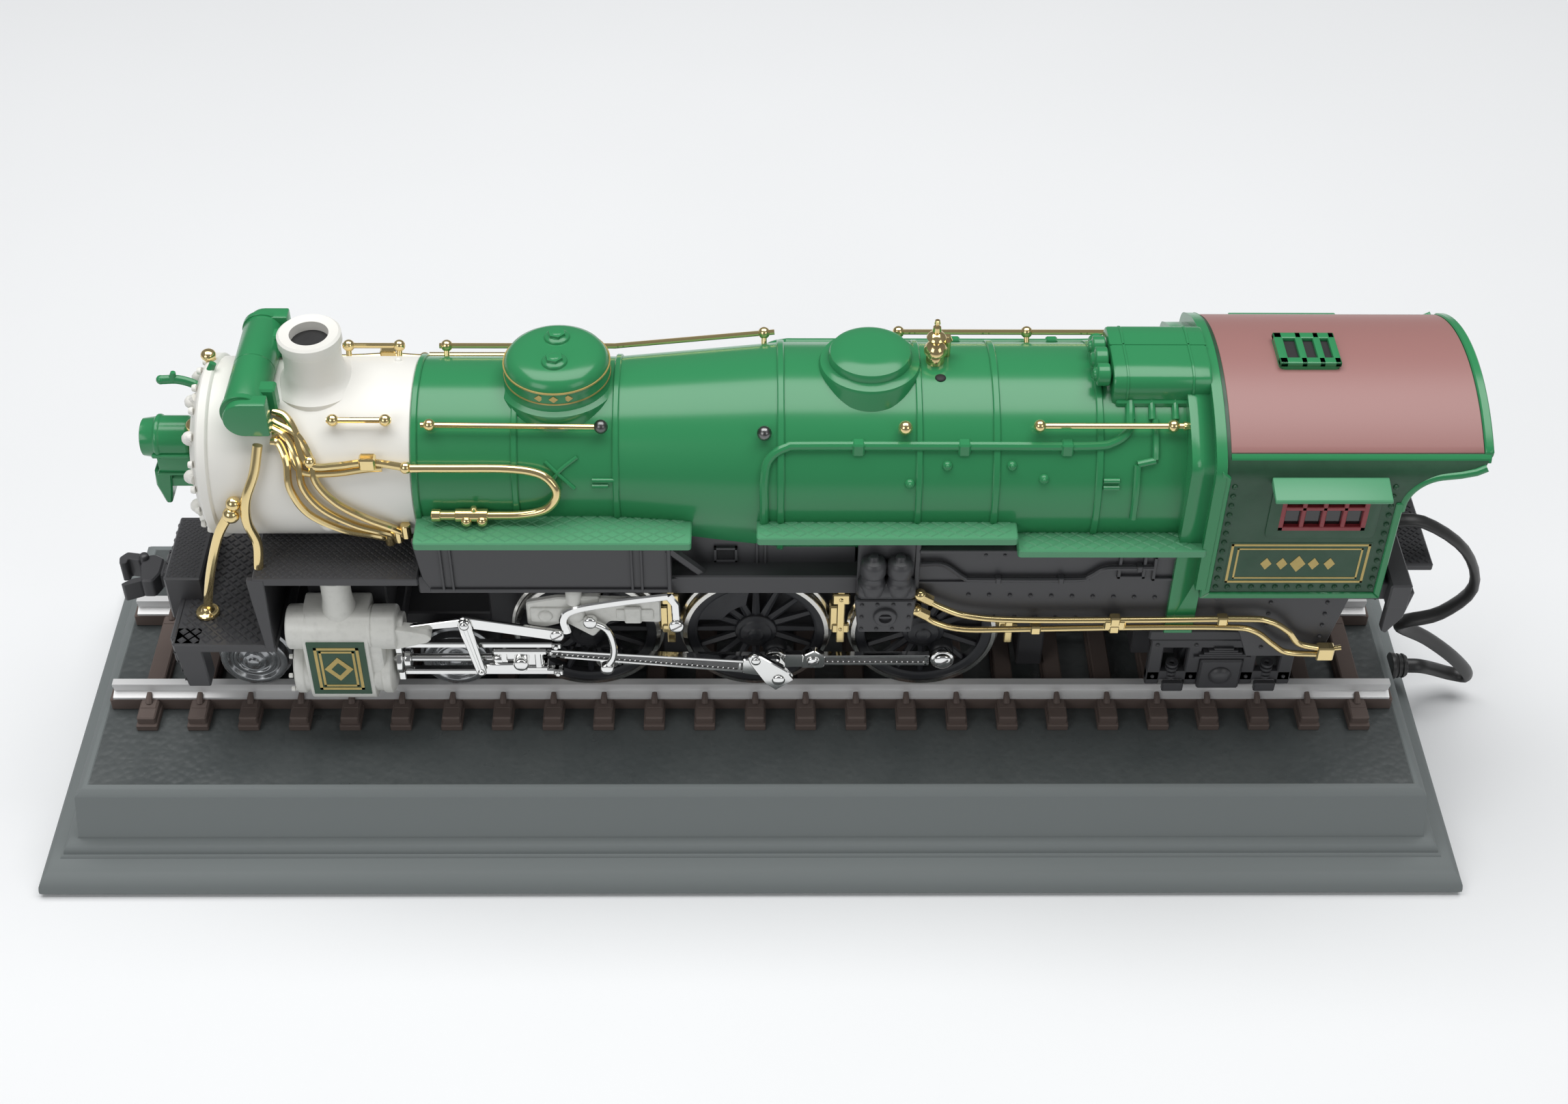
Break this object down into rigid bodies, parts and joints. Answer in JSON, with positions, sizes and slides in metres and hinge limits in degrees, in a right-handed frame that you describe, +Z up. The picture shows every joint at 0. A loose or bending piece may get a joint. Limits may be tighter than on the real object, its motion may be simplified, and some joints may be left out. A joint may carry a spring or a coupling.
{
  "type": "display model steam locomotive",
  "caption": "Display model steam locomotive on a track plinth; boiler and cab lift off as a corded telephone handset, with turning wheels and coupled rods.",
  "frame": {"origin": "centre of the plinth's underside", "axes": "+X from the smokebox to the cab along the track, +Y to the far side, +Z up"},
  "size_m": [0.4537, 0.1372, 0.165],
  "materials": {
    "green": "gloss",
    "ivory": "satin",
    "grey_plastic": "satin",
    "black": "satin",
    "plinth": "grained",
    "sleeper": "wood grain moulding",
    "rail": "silver",
    "chrome": "polished",
    "gold": "polished",
    "maroon": "satin",
    "rubber": "satin",
    "board": "satin"
  },
  "bodies": {
    "base": {"air_pump": "black", "base_circuit_board": "board", "base_cord_gland": "rubber", "base_cover": "black", "base_shell": "plinth", "bell_arm": "green", "chassis": "black", "coupler": "black", "cylinder_far": "grey_plastic", "cylinder_near": "grey_plastic", "feedwater_heater": "green", "front_brace_far": "gold", "front_brace_near": "gold", "guide_bars_far": "chrome", "guide_bars_near": "chrome", "handset_cord": "rubber", "headlight": "green", "injector_pipe": "gold", "line_jack": "black", "motion_bracket_far": "grey_plastic", "motion_bracket_near": "grey_plastic", "radius_rod_far": "chrome", "radius_rod_near": "chrome", "rail_far": "rail", "rail_near": "rail", "ringer": "black", "sleeper_bed": "sleeper", "smokebox": "ivory", "smokebox_door": "ivory", "stack": "ivory"},
    "handset": {"boiler_shell": "green", "handset_floor": "black", "handset_circuit_board": "board", "earpiece_capsule": "black", "microphone_capsule": "black", "cab_shell": "green", "cab_floor": "black", "handset_cord_gland": "rubber", "roof_panel": "maroon", "sand_dome": "green", "steam_dome": "green", "turret_box": "green", "safety_valve": "gold", "handrail_boiler_near": "gold", "handrail_boiler_far": "gold"},
    "hook_plunger": {"hook_plunger": "ivory"},
    "driver_1": {"driver_axle_1": "chrome"},
    "driver_2": {"driver_axle_2": "chrome"},
    "driver_3": {"driver_axle_3": "chrome"},
    "pilot_axle_1": {"pilot_axle_1": "chrome"},
    "pilot_axle_2": {"pilot_axle_2": "chrome"},
    "trailing_axle": {"trailing_axle": "chrome"},
    "side_rod_near": {"side_rod_near": "chrome"},
    "main_rod_near": {"main_rod_near": "chrome"},
    "crosshead_near": {"crosshead_near": "chrome"},
    "combination_lever_near": {"combination_lever_near": "chrome"},
    "side_rod_far": {"side_rod_far": "chrome"},
    "main_rod_far": {"main_rod_far": "chrome"},
    "crosshead_far": {"crosshead_far": "chrome"},
    "combination_lever_far": {"combination_lever_far": "chrome"}
  },
  "joints": [
    {"name": "handset_lift", "type": "slide", "parent": "base", "child": "handset", "axis": [0, 0, 1], "range_m": [0, 0.12]},
    {"name": "hook_plunger_travel", "type": "slide", "parent": "base", "child": "hook_plunger", "axis": [0, 0, 1], "range_m": [0, 0.003]},
    {"name": "driver_1_spin", "type": "hinge", "parent": "base", "child": "driver_1", "pos_m": [-0.0497, 0, 0.0636], "axis": [0, 1, 0], "continuous": true},
    {"name": "driver_2_spin", "type": "hinge", "parent": "base", "child": "driver_2", "pos_m": [0.0007, 0, 0.0636], "axis": [0, 1, 0], "continuous": true},
    {"name": "driver_3_spin", "type": "hinge", "parent": "base", "child": "driver_3", "pos_m": [0.0511, 0, 0.0636], "axis": [0, 1, 0], "continuous": true},
    {"name": "pilot_axle_1_spin", "type": "hinge", "parent": "base", "child": "pilot_axle_1", "pos_m": [-0.1515, 0, 0.0517], "axis": [0, 1, 0], "continuous": true},
    {"name": "pilot_axle_2_spin", "type": "hinge", "parent": "base", "child": "pilot_axle_2", "pos_m": [-0.0903, 0, 0.0517], "axis": [0, 1, 0], "continuous": true},
    {"name": "trailing_axle_spin", "type": "hinge", "parent": "base", "child": "trailing_axle", "pos_m": [0.141, 0, 0.0531], "axis": [0, 1, 0], "continuous": true},
    {"name": "side_rod_near_pin", "type": "hinge", "parent": "driver_2", "child": "side_rod_near", "pos_m": [0.0065, -0.0233, 0.0567], "axis": [0, 1, 0], "continuous": true},
    {"name": "main_rod_near_pin", "type": "hinge", "parent": "driver_2", "child": "main_rod_near", "pos_m": [0.0065, -0.0267, 0.0567], "axis": [0, 1, 0], "continuous": true},
    {"name": "crosshead_near_slide", "type": "slide", "parent": "base", "child": "crosshead_near", "axis": [1, 0, 0], "range_m": [-0.0148, 0.0032]},
    {"name": "combination_lever_near_pivot", "type": "hinge", "parent": "base", "child": "combination_lever_near", "pos_m": [-0.084, -0.0337, 0.081], "axis": [0, -1, 0], "range_deg": [-46, 12]},
    {"name": "side_rod_far_pin", "type": "hinge", "parent": "driver_2", "child": "side_rod_far", "pos_m": [0.0065, 0.0233, 0.0567], "axis": [0, 1, 0], "continuous": true},
    {"name": "main_rod_far_pin", "type": "hinge", "parent": "driver_2", "child": "main_rod_far", "pos_m": [0.0065, 0.0267, 0.0567], "axis": [0, 1, 0], "continuous": true},
    {"name": "crosshead_far_slide", "type": "slide", "parent": "base", "child": "crosshead_far", "axis": [1, 0, 0], "range_m": [-0.0148, 0.0032]},
    {"name": "combination_lever_far_pivot", "type": "hinge", "parent": "base", "child": "combination_lever_far", "pos_m": [-0.084, 0.0337, 0.081], "axis": [0, -1, 0], "range_deg": [-46, 12]}
  ],
  "couplings": [
    {"joint": "hook_plunger_travel", "follows": "handset_lift", "ratio": 0.025},
    {"joint": "driver_1_spin", "follows": "driver_2_spin", "ratio": 1},
    {"joint": "driver_3_spin", "follows": "driver_2_spin", "ratio": 1},
    {"joint": "side_rod_near_pin", "follows": "driver_2_spin", "ratio": -1},
    {"joint": "main_rod_near_pin", "follows": "driver_2_spin", "ratio": -1},
    {"joint": "combination_lever_near_pivot", "follows": "crosshead_near_slide", "rad_per_m": 51},
    {"joint": "side_rod_far_pin", "follows": "driver_2_spin", "ratio": -1},
    {"joint": "main_rod_far_pin", "follows": "driver_2_spin", "ratio": -1},
    {"joint": "combination_lever_far_pivot", "follows": "crosshead_near_slide", "rad_per_m": 51},
    {"joint": "crosshead_far_slide", "follows": "crosshead_near_slide", "ratio": 1}
  ]
}
